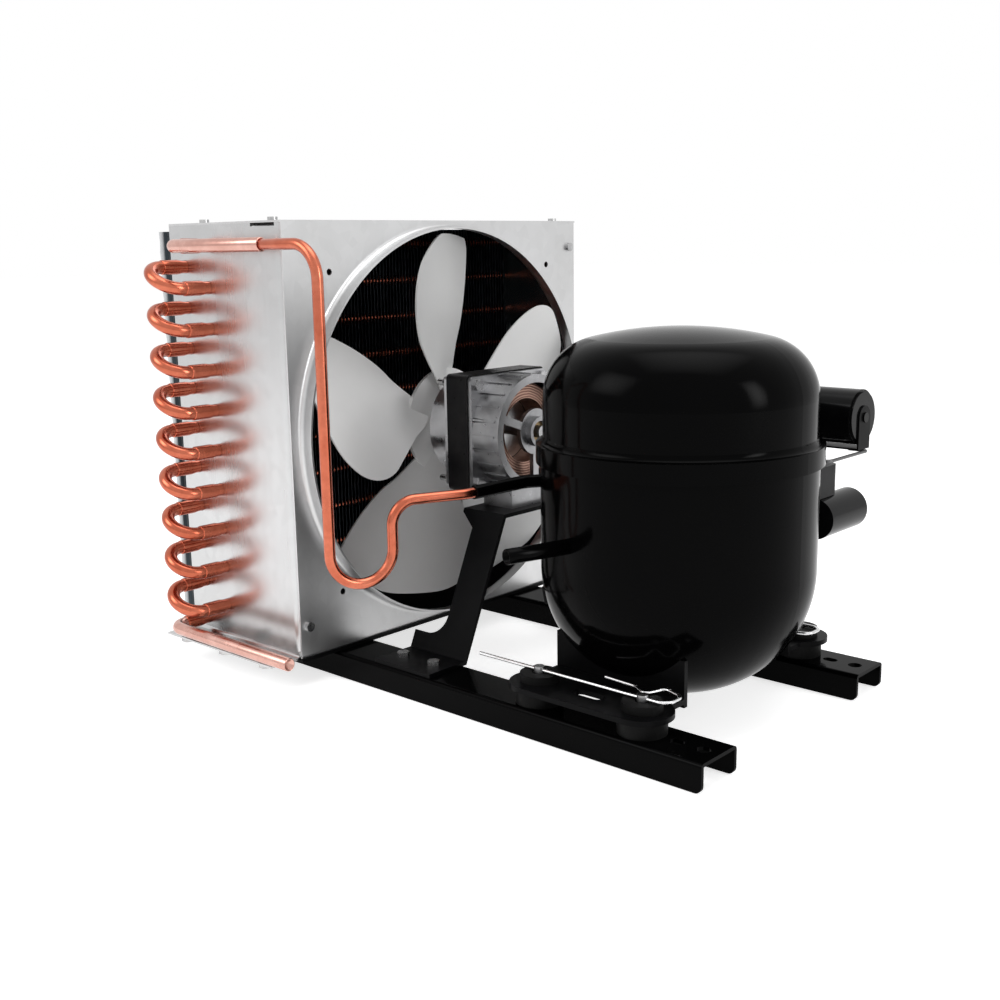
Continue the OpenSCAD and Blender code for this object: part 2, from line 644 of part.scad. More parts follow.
// Motor bracket: a shelf on two leaning legs, one on each rail
bracket_t = 2.5;
shelf_gap = 9.5;
shelf_z = fan_z - stack_side / 2 - shelf_gap;
foot_lap = 4;
motor_foot_h = shelf_gap + stack_side / 2 - rear_shell_r + foot_lap;
bracket_x = 83;
foot_x0 = 36;
leg_w = 23;
shelf_l = 34;
shelf_y = 98;
shelf_w = 75;
leg_fillet = 13;
gusset_h = 14;
leg_flare = 14;
leg_flare_edge = 5;
bracket_bolt_x = [46, 72.5];
bracket_bolt_d = 4;
foot_depth = 29;
leg_flange = 9;
motor_screw_x = 70;
module leg_outline(l) difference() {
  union() {
    translate([foot_x0, 0]) square([bracket_x - foot_x0, gusset_h]);
    translate([bracket_x - leg_w, 0]) square([leg_w, l]);
    translate([bracket_x - leg_w - leg_fillet, gusset_h - cut]) square([leg_fillet + cut, leg_fillet + cut]);
    polygon([
      [bracket_x, l - leg_flare], [bracket_x, l], [bracket_x - shelf_l, l],
      [bracket_x - shelf_l, l - leg_flare_edge], [bracket_x - leg_w, l - leg_flare]
    ]);
  }
  translate([bracket_x - leg_w - leg_fillet, gusset_h + leg_fillet]) circle(leg_fillet);
  translate([bracket_x - leg_w - 2 * leg_fillet, gusset_h + leg_fillet]) square([leg_fillet, leg_fillet]);
}
module bracket_leg(foot_y, side) {
  rise = shelf_z - rail_h;
  run = side > 0 ? shelf_y - foot_y : foot_y - shelf_y - shelf_w;
  lean = atan(run / rise);
  slope = norm([run, rise]);
  translate([0, foot_y, rail_h]) mirror([0, side > 0 ? 0 : 1, 0]) {
    intersection() {
      rotate([90 - lean, 0, 0]) translate([0, 0, -bracket_t]) linear_extrude(bracket_t) leg_outline(slope + bracket_t);
      translate([0, -foot_depth, 0]) cube([2 * bracket_x, 4 * foot_depth, rise]);
    }
    intersection() {
      rotate([90 - lean, 0, 0]) translate([bracket_x - leg_w, gusset_h, -leg_flange])
        cube([bracket_t, slope, leg_flange]);
      translate([0, -foot_depth, 0]) cube([2 * bracket_x, 4 * foot_depth, rise]);
    }
    translate([foot_x0, -foot_depth, 0]) cube([bracket_x - foot_x0, foot_depth + bracket_t, bracket_t]);
  }
}
foot_edge = 1.5;
front_foot_y = rail_inset + rail_w / 2 - foot_edge;
rear_foot_y = rail_inset + rail_pitch - rail_w / 2 + foot_edge;
module motor_bracket() placed() color("#161618") difference() {
  union() {
    bracket_leg(front_foot_y, 1);
    bracket_leg(rear_foot_y, -1);
    translate([bracket_x - shelf_l, shelf_y, shelf_z - bracket_t]) cube([shelf_l, shelf_w, bracket_t]);
  }
  for (y = [rail_inset, rail_inset + rail_pitch]) for (x = bracket_bolt_x)
    translate([x, y, rail_h - cut]) cylinder(d = bracket_bolt_d, h = bracket_t + 2 * cut);
  for (s = [-1, 1]) translate([motor_screw_x, fan_y + s * motor_foot_w / 3, shelf_z - bracket_t - cut])
    cylinder(d = screw_d, h = bracket_t + 2 * cut);
}
module bracket_bolts() placed() color("#c8cace")
  for (y = [rail_inset, rail_inset + rail_pitch]) for (x = bracket_bolt_x)
    translate([x, y, rail_h + bracket_t]) rotate([180, 0, 0]) hex_bolt(bracket_bolt_d, bracket_t + rail_t);
module motor_screws() placed() color("#c8cace") for (s = [-1, 1])
  translate([motor_screw_x, fan_y + s * motor_foot_w / 3, shelf_z - bracket_t])
    pan_screw(screw_d, bracket_t + 2 * screw_d);

// Compressor shells: walls with a rounded shoulder that runs into a shallow dome
shoulder_r = 34;
dome_r = 220;
bowl_corner_r = 72;
bowl_r = 200;
band_t = 4;
band_r = upper_r + band_t;
function shoulder_z(r, c, big, top) = top - big + sqrt(pow(big - c, 2) - pow(r - c, 2));
module domed(r, c, big, top, low) {
  zk = shoulder_z(r, c, big, top);
  translate([0, low]) square([r, zk - low]);
  translate([r - c, zk]) intersection() {
    circle(c);
    translate([0, -cut]) square(c + cut);
  }
  intersection() {
    translate([0, top - big]) circle(big);
    translate([0, zk - cut]) square([big * (r - c) / (big - c), top - zk + 2 * cut]);
  }
}
module shell_profile(r, c, big, top, low) difference() {
  domed(r, c, big, top, low);
  domed(r - shell_t, c - shell_t, big - shell_t, top - shell_t, low - cut);
}
module on_comp() translate([comp_x, axis_y, 0]) children();
rim_lap = 2;
rim_z = band_z + band_h - rim_lap;
module upper_shell() placed() color("#0c0c0d") on_comp() rotate_extrude() {
  shell_profile(upper_r, shoulder_r, dome_r, comp_top, band_z + band_h);
  translate([upper_r - shell_t, rim_z]) square([band_t + shell_t, band_z + band_h - rim_z]);
  translate([lower_r + run_gap, band_z]) square([band_r - lower_r - run_gap, rim_z - band_z]);
  difference() {
    translate([upper_r - cut, band_z + band_h]) square([band_t + cut, band_t]);
    translate([upper_r + band_t, band_z + band_h + band_t]) circle(band_t);
  }
}
module lower_shell() placed() color("#0c0c0d") on_comp() mirror([0, 0, 1]) translate([0, 0, -rim_z])
  rotate_extrude() translate([0, rim_z]) shell_profile(lower_r, bowl_corner_r, bowl_r, -comp_bottom, -rim_z);

// Feet: a pressed plate on each rail, held on rubber by pins and one spring wire
foot_x = [comp_x - foot_pitch / 2, comp_x + foot_pitch / 2];
foot_t = 3;
foot_rise = 9;
foot_z = rail_h + foot_rise;
foot_w = 34;
pin_d = 6;
grommet_hole = 15;
rail_slot_offset = 21.5;
rail_slot_x = foot_x[1] + rail_slot_offset;
foot_slot_l = 20;
foot_slot_w = 8;
module foot_plate() difference() {
  union() {
    for (x = foot_x) translate([x, 0, foot_z]) cylinder(d = foot_w, h = foot_t);
    translate([foot_x[0], -foot_w / 2, foot_z]) cube([foot_pitch, foot_w, foot_t]);
    translate([foot_x[0] - foot_w / 4, 0, foot_z]) cube([foot_pitch + foot_w / 2, saddle_y, foot_t]);
    translate([foot_x[0] - foot_w / 4, saddle_y, foot_z - saddle_drop])
      cube([foot_pitch + foot_w / 2, foot_t, saddle_drop + saddle_h]);
  }
  for (x = foot_x) translate([x, 0, foot_z - cut]) cylinder(d = grommet_hole, h = foot_t + 2 * cut);
  translate([comp_x, 0, foot_z - cut]) linear_extrude(foot_t + 2 * cut) rounded_slot(foot_slot_l, foot_slot_w);
  translate([comp_x, rail_pitch / 2, 0]) rotate_extrude()
    translate([0, rim_z]) mirror([0, 1]) translate([0, rim_z]) domed(lower_r, bowl_corner_r, bowl_r, -comp_bottom, -rim_z);
}
saddle_y = 26;
saddle_drop = 2;
saddle_h = 24;
module front_foot_plate() placed() color("#101011") translate([0, rail_inset, 0]) foot_plate();
module rear_foot_plate() placed() color("#101011")
  translate([0, rail_inset + rail_pitch, 0]) mirror([0, 1, 0]) foot_plate();
module at_feet() for (y = [rail_inset, rail_inset + rail_pitch]) for (x = foot_x)
  translate([x, y, rail_h]) children();
grommet_d = 27;
grommet_top_d = 22;
grommet_top = 17;
grommet_bore = 8;
module grommet_profile() {
  neck = grommet_hole / 2;
  hole = grommet_bore / 2;
  translate([hole, 0]) square([grommet_d / 2 - hole, foot_z - rail_h]);
  translate([hole, 0]) square([neck - hole, grommet_top]);
  translate([hole, foot_z + foot_t - rail_h]) square([grommet_top_d / 2 - hole, grommet_top - (foot_z + foot_t - rail_h)]);
}
module rubber_grommets() placed() color("#121213") at_feet() rotate_extrude() grommet_profile();
pin_top = 20.5;
pin_head_h = 2;
wire_d = 2;
wire_z = 18.3;
module mounting_pins() placed() color("#3a3b3d") at_feet() difference() {
  union() {
    translate([0, 0, -rail_t]) cylinder(d = pin_d, h = pin_top + rail_t);
    translate([0, 0, -rail_t - pin_head_h]) cylinder(d = 2 * pin_d, h = pin_head_h);
  }
  translate([-pin_d, 0, wire_z]) rotate([0, 90, 0]) cylinder(d = wire_d + 2 * run_gap, h = 2 * pin_d);
}

// Spring wire: a straight leg through both pins, and a waved leg that grips behind the second
clip_reach = 15;
clip_gap = 7;
wire_lead = 45;
clip_wave_share = [[0.1, 2.7], [-0.2, 0.8], [-0.87, 1.7], [-2.27, 1.93]];
clip_bend = [6, 5, 4, 2.5, 5];
module retaining_wire() {
  far = foot_x[1] + clip_reach;
  bent_tube(concat(
      [[foot_x[0] - wire_lead, 0, 0], [far, 0, 0], [far, 2 * clip_gap, 0]],
      [for (p = clip_wave_share) [foot_x[1] + p.x * clip_reach, p.y * clip_gap, 0]]
    ), concat([0], clip_bend, [0]), wire_d);
}
module retaining_wires() placed() color("#d0d2d5") {
  translate([0, rail_inset, rail_h + wire_z]) retaining_wire();
  translate([0, rail_inset + rail_pitch, rail_h + wire_z]) mirror([0, 1, 0]) retaining_wire();
}

// Compressor stubs
module shell_space() on_comp() translate([0, 0, comp_bottom]) cylinder(r = lower_r, h = band_z - comp_bottom);
stub_bends = [0, line_bend_r, 0];
module discharge_stub() placed() color("#0f0f10") {
  root = stub_corner + [cos(stub_turn), sin(stub_turn), 0] * upper_r / 2;
  difference() {
    bent_tube([stub_start, stub_corner, root], stub_bends, stub_od, line_od + 2 * braze_gap);
    shell_space();
  }
}
suction_wall = 1;
suction_z = 105;
suction_turn = 254;
module suction_stub() placed() color("#0f0f10") {
  dir = [cos(suction_turn), sin(suction_turn), 0];
  root = [comp_x, axis_y, suction_z];
  difference() {
    straight_run(root, root + dir * (lower_r + suction_l), suction_od, suction_od - 2 * suction_wall);
    shell_space();
  }
}

// Electrical pieces on the far side of the compressor
cover_x = 172;
cover_w = 68;
cover_y = 200;
cover_d = 25;
cover_z = 107;
cover_h = 27;
cover_r = 5;
cap_out = 3;
cap_y = cover_y + cover_d + cap_out;
cap_end = 253;
module rounded_block(l, w, h, r) linear_extrude(h) {
  translate([r, 0]) square([l - 2 * r, w]);
  translate([0, r]) square([l, w - 2 * r]);
  for (x = [r, l - r]) for (y = [r, w - r]) translate([x, y]) circle(r);
}
module terminal_cover() placed() color("#131314") difference() {
  translate([cover_x, cover_y - cover_d, cover_z]) rounded_block(cover_w, 2 * cover_d, cover_h, cover_r);
  on_comp() translate([0, 0, comp_bottom]) cylinder(r = band_r + seat_gap, h = comp_top);
  translate([cap_end, cap_y, cap_z]) rotate([0, -90, 0]) cylinder(d = cap_d + seat_gap, h = cap_l + cut);
  translate([run_cap_x, run_cap_y - seat_gap, run_cap_z]) rotate([-90, 0, 0])
    cylinder(d = run_cap_d + 2 * seat_gap, h = run_cap_l);
}
cap_z = 162.5;
cap_rim = 1.5;
cap_stud_d = 6;
cap_stud_l = 2;
module start_capacitor() placed() color("#0e0e0f") translate([cap_end - cap_l, cap_y, cap_z]) rotate([0, 90, 0]) {
  cylinder(d = cap_d, h = cap_l - cap_rim);
  cylinder(d = cap_d - 2 * cap_rim, h = cap_l);
  cylinder(d = cap_stud_d, h = cap_l + cap_stud_l);
}
strap_w = 14;
strap_t = 1;
strap_drop = 19;
strap_post_x = 222;
module capacitor_strap() placed() color("#161617") difference() {
  union() {
    translate([cap_end, cap_y - strap_w / 2, cap_z - strap_drop]) cube([strap_t, strap_w, strap_drop]);
    translate([cap_end, cap_y, cap_z]) rotate([0, 90, 0]) cylinder(d = strap_w, h = strap_t);
    translate([strap_post_x, cap_y - strap_w / 2, cap_z - strap_drop])
      cube([cap_end - strap_post_x + strap_t, strap_w, strap_t]);
    translate([strap_post_x, cap_y - strap_w / 2, cover_z + cover_h])
      cube([strap_t, strap_w, cap_z - strap_drop - cover_z - cover_h + strap_t]);
  }
  translate([cap_end - cut, cap_y, cap_z]) rotate([0, 90, 0]) cylinder(d = cap_stud_d, h = strap_t + 2 * cut);
}
bail_d = 2;
bail_bend = 3;
module cover_bail() placed() color("#c8cacd") bent_tube([
    [cover_x + cover_w + bail_d / 2, cover_y - cover_d / 2, cap_z - strap_drop - bail_d],
    [cap_end, cover_y - cover_d / 2, cap_z - strap_drop - bail_d],
    [cap_end, cap_y + strap_w / 2, cap_z - strap_drop - bail_d],
    [cover_x + cover_w + bail_d / 2, cap_y + strap_w / 2, cap_z - strap_drop - bail_d]
  ], [0, bail_bend, bail_bend, 0], bail_d);
run_cap_x = 236.5;
run_cap_y = 203;
run_cap_z = 103;
run_cap_rim = 2;
module run_capacitor() placed() color("#0e0e0f") translate([run_cap_x, run_cap_y, run_cap_z]) rotate([-90, 0, 0]) {
  cylinder(d = run_cap_d, h = run_cap_l - run_cap_rim);
  cylinder(d = run_cap_d - 2 * run_cap_rim, h = run_cap_l);
}

// Compressor mechanism, sealed inside the shells
stator_z = 52;
stator_h = 44;
stator_r = 60;
crank_bore = 33.6;
coil_h = 10;
crank_d = 16;
web_z = 131;
web_h = 5;
crankpin_d = 12;
crankpin_h = 10;
rod_half = 5;
rod_w = 6;
rod_h = 8;
eye_wall = 3;
bore_z = web_z + web_h + crankpin_h + seat_gap + rod_half;
block_z = 100;
block_t = 8;
block_r = 44;
boss_wall = 8;
block_web_cut = 12;
plate_h = 2.5;
winding_gap = 2;
rotor_inset = 1;
shaft_drop = 6;
cyl_x = 25;
cyl_l = 31;
cyl_wall = 6;
head_l = 9;
module compressor_stator() placed() color("#5d5f63") on_comp() translate([0, 0, stator_z]) difference() {
  cylinder(r = stator_r, h = stator_h);
  translate([0, 0, -cut]) cylinder(r = crank_bore, h = stator_h + 2 * cut);
}
module stator_windings() placed() color("#b4664a") on_comp()
  for (z = [stator_z - coil_h, stator_z + stator_h]) translate([0, 0, z]) difference() {
    cylinder(r = stator_r - coil_h, h = coil_h);
    translate([0, 0, -cut]) cylinder(r = crank_bore + winding_gap, h = coil_h + 2 * cut);
  }
module rotor_crankshaft() placed() color("#8a8d91") on_comp() {
  translate([0, 0, stator_z + rotor_inset]) cylinder(r = crank_bore - air_gap, h = stator_h - 2 * rotor_inset);
  translate([0, 0, stator_z - shaft_drop]) cylinder(d = crank_d, h = web_z + web_h - stator_z + shaft_drop);
  translate([0, 0, web_z]) cylinder(r = stroke / 2 + crankpin_d, h = web_h);
  translate([stroke / 2, 0, web_z]) cylinder(d = crankpin_d, h = web_h + crankpin_h);
}
module cylinder_block() placed() color("#6f7276") on_comp() difference() {
  union() {
    translate([0, 0, block_z]) cylinder(d = crank_d + 2 * boss_wall, h = web_z - block_z - seat_gap);
    translate([0, 0, web_z - block_t - seat_gap]) cylinder(r = block_r, h = block_t);
    translate([0, 0, bore_z]) rotate([0, 90, 0]) translate([0, 0, cyl_x])
      cylinder(d = piston_d + 2 * cyl_wall, h = cyl_l);
    translate([cyl_x, -cyl_wall, web_z - block_t]) cube([cyl_l - block_web_cut, 2 * cyl_wall, bore_z - web_z + block_t]);
  }
  translate([0, 0, block_z - cut]) cylinder(d = crank_d + 2 * run_gap, h = web_z - block_z + cut);
  translate([0, 0, bore_z]) rotate([0, 90, 0]) translate([0, 0, cyl_x - cut])
    cylinder(d = piston_d + 2 * run_gap, h = cyl_l + 2 * cut);
}
piston_l = 12;
module piston_rod() placed() color("#9b9ea2") on_comp() {
  translate([cyl_x + cyl_l - piston_l - seat_gap, 0, bore_z]) rotate([0, 90, 0]) cylinder(d = piston_d, h = piston_l);
  translate([stroke / 2, -rod_w / 2, bore_z - rod_h / 2]) cube([cyl_x + cyl_l - piston_l - stroke / 2, rod_w, rod_h]);
  translate([stroke / 2, 0, bore_z - rod_half]) cylinder(d = crankpin_d + 2 * eye_wall, h = 2 * rod_half);
}
module valve_plate() placed() color("#a3a6aa") on_comp() translate([cyl_x + cyl_l, 0, bore_z]) rotate([0, 90, 0])
  cylinder(d = piston_d + 2 * cyl_wall, h = plate_h);
module cylinder_head() placed() color("#6f7276") on_comp() translate([cyl_x + cyl_l + plate_h, 0, bore_z])
  rotate([0, 90, 0]) cylinder(d = piston_d + 2 * cyl_wall, h = head_l);
spring_r = 57;
spring_d = 12;
module suspension_springs() placed() color("#9a9da1") on_comp() for (a = [45:90:315])
  rotate([0, 0, a]) translate([spring_r, 0, 0]) difference() {
    translate([0, 0, comp_bottom]) cylinder(d = spring_d, h = stator_z - comp_bottom);
    translate([-spring_r, 0, 0]) rotate_extrude() translate([0, rim_z]) mirror([0, 1]) translate([0, rim_z])
      difference() {
        translate([0, -rim_z]) square([lower_r + spring_d, 2 * rim_z]);
        domed(lower_r - shell_t, bowl_corner_r - shell_t, bowl_r - shell_t, -comp_bottom - shell_t, -rim_z - cut);
      }
  }

front_rail();
rear_rail();
condenser_tray();
tray_bolts();
near_end_plate();
far_end_plate();
fin_pack();
coil_hairpins();
return_bends();
flange_bolts();
flange_nuts();
fan_shroud();
shroud_screws();
inlet_pipe();
discharge_line();
liquid_line();
fan_blades();
fan_hub();
motor_rotor();
motor_stack();
motor_windings();
motor_front_shell();
motor_rear_shell();
motor_bearings();
motor_studs();
motor_bracket();
bracket_bolts();
motor_screws();
lower_shell();
upper_shell();
front_foot_plate();
rear_foot_plate();
rubber_grommets();
mounting_pins();
retaining_wires();
discharge_stub();
suction_stub();
terminal_cover();
start_capacitor();
capacitor_strap();
cover_bail();
run_capacitor();
compressor_stator();
stator_windings();
rotor_crankshaft();
cylinder_block();
piston_rod();
valve_plate();
cylinder_head();
suspension_springs();
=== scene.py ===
import json
import math

import bmesh
import bpy
from mathutils import Matrix, Vector


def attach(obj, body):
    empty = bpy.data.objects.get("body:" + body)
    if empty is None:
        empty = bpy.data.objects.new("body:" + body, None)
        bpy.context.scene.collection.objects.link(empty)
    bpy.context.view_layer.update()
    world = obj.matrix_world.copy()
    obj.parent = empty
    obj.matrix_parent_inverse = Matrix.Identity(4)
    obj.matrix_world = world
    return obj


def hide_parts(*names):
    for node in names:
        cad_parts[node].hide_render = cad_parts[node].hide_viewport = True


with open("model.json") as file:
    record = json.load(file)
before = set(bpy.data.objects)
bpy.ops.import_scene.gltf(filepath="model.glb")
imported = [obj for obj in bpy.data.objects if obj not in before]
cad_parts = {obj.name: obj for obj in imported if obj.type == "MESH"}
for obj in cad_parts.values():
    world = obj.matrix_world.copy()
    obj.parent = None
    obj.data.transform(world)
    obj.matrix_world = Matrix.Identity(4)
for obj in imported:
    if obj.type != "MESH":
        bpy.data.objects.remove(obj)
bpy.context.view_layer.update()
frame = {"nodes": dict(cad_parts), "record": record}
nodes = frame["nodes"]

# Sizes repeated from the part's source, in millimetres, from the shroud's near lower corner.
# SHIFT carries that corner to the frame's origin.
SHIFT = Vector((-74.75, -129.5, 0.0))
BASE_Z = 17.5
FAN_Y, FAN_Z = 136.75, 149.75
SHROUD_W, SHROUD_H = 270.5, 264.5
COMP = Vector((191.0, 126.5, 0.0))
FRONT_ROW, BACK_ROW = -72.0, -95.0
PITCH, STAGGER, TUBES = 25.4, 12.7, 10
FIRST_Z = BASE_Z + SHROUD_H - 13.8
FIN_BACK, FIN_FRONT = -123.3, -67.0


def at(x, y, z):
    """A point of the layout, in the frame's metres."""
    return (Vector((x, y, z)) + SHIFT) * 0.001


# ---------------------------------------------------------------- materials
def links(m):
    return m.node_tree.nodes, m.node_tree.links


def maths(tree, op, a, b):
    """A maths node in any tree; a and b are sockets or numbers."""
    k = tree.nodes.new("ShaderNodeMath")
    k.operation = op
    for s, v in zip(k.inputs, (a, b)):
        if isinstance(v, bpy.types.NodeSocket):
            tree.links.new(v, s)
        else:
            s.default_value = v
    return k.outputs[0]


class Mat:
    """A Principled material with procedural colour, roughness and bump."""

    def __init__(self, name, metallic=0.0, specular=0.5):
        self.m = bpy.data.materials.new(name)
        self.m.use_nodes = True
        self.n, self.l = links(self.m)
        self.b = self.n["Principled BSDF"]
        self.b.inputs["Metallic"].default_value = metallic
        self.b.inputs["Specular IOR Level"].default_value = specular
        self.coord = self.n.new("ShaderNodeTexCoord").outputs["Object"]
        self.height = None

    def mapped(self, scale):
        k = self.n.new("ShaderNodeMapping")
        k.inputs["Scale"].default_value = scale if isinstance(scale, tuple) else (scale,) * 3
        self.l.new(self.coord, k.inputs["Vector"])
        return k.outputs["Vector"]

    def noise(self, scale, detail=3.0, rough=0.5):
        t = self.n.new("ShaderNodeTexNoise")
        t.inputs["Scale"].default_value = 1.0
        t.inputs["Detail"].default_value = detail
        t.inputs["Roughness"].default_value = rough
        self.l.new(self.mapped(scale), t.inputs["Vector"])
        return t.outputs["Fac"]

    def cells(self, scale):
        t = self.n.new("ShaderNodeTexVoronoi")
        t.inputs["Scale"].default_value = 1.0
        self.l.new(self.mapped(scale), t.inputs["Vector"])
        return t

    def ramp(self, fac, *stops):
        r = self.n.new("ShaderNodeValToRGB")
        e = r.color_ramp.elements
        while len(e) < len(stops):
            e.new(0.5)
        for el, (p, c) in zip(e, stops):
            el.position = p
            el.color = (*c, 1.0) if len(c) == 3 else c
        self.l.new(fac, r.inputs["Fac"])
        return r.outputs["Color"]

    def span(self, fac, lo, hi, a=0.0, b=1.0):
        r = self.n.new("ShaderNodeMapRange")
        r.inputs["From Min"].default_value = a
        r.inputs["From Max"].default_value = b
        r.inputs["To Min"].default_value = lo
        r.inputs["To Max"].default_value = hi
        self.l.new(fac, r.inputs["Value"])
        return r.outputs["Result"]

    def mix(self, fac, a, b, mode="MIX"):
        k = self.n.new("ShaderNodeMix")
        k.data_type = "RGBA"
        k.blend_type = mode
        for socket, value in (("Factor_Float", fac), ("A_Color", a), ("B_Color", b)):
            s = next(i for i in k.inputs if i.identifier == socket)
            if isinstance(value, bpy.types.NodeSocket):
                self.l.new(value, s)
            else:
                s.default_value = value if isinstance(value, (int, float)) else (*value, 1.0)
        return next(o for o in k.outputs if o.identifier == "Result_Color")

    def maths(self, op, a, b):
        return maths(self.m.node_tree, op, a, b)

    def colour(self, out):
        self.l.new(out, self.b.inputs["Base Color"])
        return self

    def rough(self, out):
        self.l.new(out, self.b.inputs["Roughness"])
        return self

    def bump(self, out, strength, distance=0.0004):
        k = self.n.new("ShaderNodeBump")
        k.inputs["Strength"].default_value = strength
        k.inputs["Distance"].default_value = distance
        self.l.new(out, k.inputs["Height"])
        if self.height is not None:
            self.l.new(self.height, k.inputs["Normal"])
        self.height = k.outputs["Normal"]
        self.l.new(self.height, self.b.inputs["Normal"])
        return self


def gloss_black():
    m = Mat("gloss_black_enamel", specular=0.03)
    drift = m.noise(9.0, 4)
    m.colour(m.ramp(drift, (0.3, (0.0008, 0.0008, 0.0009)), (0.75, (0.0018, 0.0018, 0.0019))))
    m.rough(m.span(m.noise(60.0, 4, 0.6), 0.07, 0.17))
    m.bump(m.noise(420.0, 2), 0.05, 0.0002)
    m.bump(m.noise(26.0, 2), 0.08, 0.0006)
    return m.m


def satin_black():
    m = Mat("satin_black_powder", specular=0.05)
    m.colour(m.ramp(m.noise(30.0, 5), (0.3, (0.002, 0.002, 0.0022)), (0.8, (0.005, 0.005, 0.0055))))
    m.rough(m.span(m.noise(90.0, 4), 0.28, 0.46))
    m.bump(m.noise(1500.0, 2), 0.16, 0.0001)
    return m.m


def galvanised(name, lo, hi, tone):
    m = Mat(name, metallic=1.0)
    streak = m.noise((60.0, 60.0, 2.2), 5, 0.6)
    cloud = m.noise(14.0, 4)
    spangle = m.cells(150.0)
    grey = m.ramp(cloud, (0.25, (tone * 0.9,) * 3), (0.75, (tone, tone * 1.003, tone * 1.012)))
    dark = m.ramp(spangle.outputs["Color"], (0.0, (0.93,) * 3), (1.0, (1.0,) * 3))
    grey = m.mix(1.0, grey, dark, "MULTIPLY")
    m.colour(grey)
    blend = m.maths("ADD", m.maths("MULTIPLY", streak, 0.7), m.maths("MULTIPLY", cloud, 0.3))
    m.rough(m.span(blend, lo, hi, 0.25, 0.75))
    m.bump(streak, 0.05, 0.0002)
    m.bump(m.noise(7.0, 2), 0.1, 0.001)
    return m.m


def copper(name, warm, pale, lo=0.14, hi=0.32):
    m = Mat(name, metallic=1.0)
    blotch = m.noise(38.0, 5, 0.6)
    fine = m.noise(320.0, 3)
    between = tuple((a + b) / 2 for a, b in zip(warm, pale))
    c = m.ramp(blotch, (0.25, warm), (0.5, between), (0.78, pale))
    m.colour(m.mix(m.span(fine, 0.0, 0.35, 0.35, 0.8), c, tuple(v * 0.8 for v in warm)))
    m.rough(m.span(m.noise(110.0, 4), lo, hi, 0.3, 0.7))
    m.bump(fine, 0.04, 0.0001)
    return m.m


def fin_metal():
    m = Mat("fin_foil_painted_shade", metallic=0.9)
    # The near-black colour on the inner fins is painted shade for the dark inside of the pack; the
    # fins' own bare aluminium colour shows only along the intake edge.
    c = m.ramp(m.noise((80.0, 400.0, 12.0), 4),
               (0.3, (0.010, 0.013, 0.016)), (0.8, (0.05, 0.062, 0.07)))
    place = m.n.new("ShaderNodeSeparateXYZ")
    m.l.new(m.coord, place.inputs[0])
    intake = m.span(place.outputs[0], 1.0, 0.0, at(FIN_BACK, 0, 0).x, at(FIN_BACK + 5.3, 0, 0).x)
    m.colour(m.mix(intake, c, (0.60, 0.61, 0.62)))
    m.rough(m.span(m.noise(140.0, 3), 0.25, 0.5))
    m.bump(m.noise((900.0, 900.0, 60.0), 3), 0.2, 0.0001)
    return m.m


def fan_metal():
    m = Mat("satin_fan_sheet", metallic=0.2, specular=0.4)
    c = m.ramp(m.noise(18.0, 4), (0.3, (0.80, 0.80, 0.795)), (0.75, (0.87, 0.87, 0.865)))
    m.colour(c)
    m.rough(m.span(m.noise((300.0, 24.0, 24.0), 4), 0.3, 0.42))
    m.bump(m.noise(700.0, 3), 0.05, 0.0001)
    return m.m


def cast_metal(name, lo, hi):
    m = Mat(name, metallic=1.0)
    c = m.ramp(m.noise(45.0, 5), (0.25, (lo, lo, lo * 1.03)), (0.8, (hi, hi, hi * 1.02)))
    m.colour(c)
    m.rough(m.span(m.noise(220.0, 4), 0.2, 0.42))
    m.bump(m.noise(520.0, 4), 0.22, 0.00015)
    return m.m


def zinc():
    m = Mat("bright_zinc", metallic=1.0)
    m.colour(m.ramp(m.noise(160.0, 4), (0.3, (0.34, 0.34, 0.35)), (0.8, (0.62, 0.62, 0.61))))
    m.rough(m.span(m.noise(400.0, 3), 0.16, 0.34))
    m.bump(m.noise(900.0, 3), 0.1, 0.0001)
    return m.m


def laminations():
    m = Mat("varnished_laminations", specular=0.09)
    w = m.n.new("ShaderNodeTexWave")
    w.wave_type = "BANDS"
    w.bands_direction = "X"
    w.inputs["Scale"].default_value = 1.0
    m.l.new(m.mapped(320.0), w.inputs["Vector"])
    m.colour(m.ramp(m.noise(60.0, 4), (0.3, (0.004, 0.004, 0.005)), (0.8, (0.016, 0.015, 0.015))))
    m.rough(m.span(m.noise(200.0, 3), 0.22, 0.4))
    m.bump(w.outputs["Fac"], 0.35, 0.0002)
    return m.m


def winding():
    m = Mat("enamelled_winding", metallic=0.85)
    w = m.n.new("ShaderNodeTexWave")
    w.wave_type = "RINGS"
    w.rings_direction = "X"
    w.inputs["Scale"].default_value = 1.0
    w.inputs["Distortion"].default_value = 1.5
    turns = 190.0
    k = m.mapped(turns)
    axis = at(0, FAN_Y, FAN_Z)
    k.node.inputs["Location"].default_value = (0, -turns * axis.y, -turns * axis.z)
    m.l.new(k, w.inputs["Vector"])
    # The colour follows the turns' wave: darker in the grooves between turns is painted shade,
    # lighter on the crowns is painted highlight.
    m.colour(m.ramp(w.outputs["Fac"], (0.1, (0.20, 0.10, 0.075)), (0.9, (0.50, 0.31, 0.24))))
    m.rough(m.span(m.noise(300.0, 3), 0.25, 0.45))
    m.bump(w.outputs["Fac"], 0.5, 0.0003)
    return m.m


def bronze():
    m = Mat("sintered_bronze", metallic=1.0)
    m.colour(m.ramp(m.noise(400.0, 4), (0.3, (0.35, 0.24, 0.12)), (0.8, (0.62, 0.46, 0.26))))
    m.rough(m.span(m.noise(300.0, 3), 0.35, 0.55))
    m.bump(m.noise(1500.0, 2), 0.2, 0.0001)
    return m.m


def rubber():
    m = Mat("moulded_rubber", specular=0.08)
    m.colour(m.ramp(m.noise(120.0, 5), (0.3, (0.003, 0.003, 0.003)), (0.8, (0.008, 0.008, 0.008))))
    m.rough(m.span(m.noise(80.0, 3), 0.42, 0.62))
    m.bump(m.noise(1100.0, 3), 0.25, 0.0001)
    return m.m


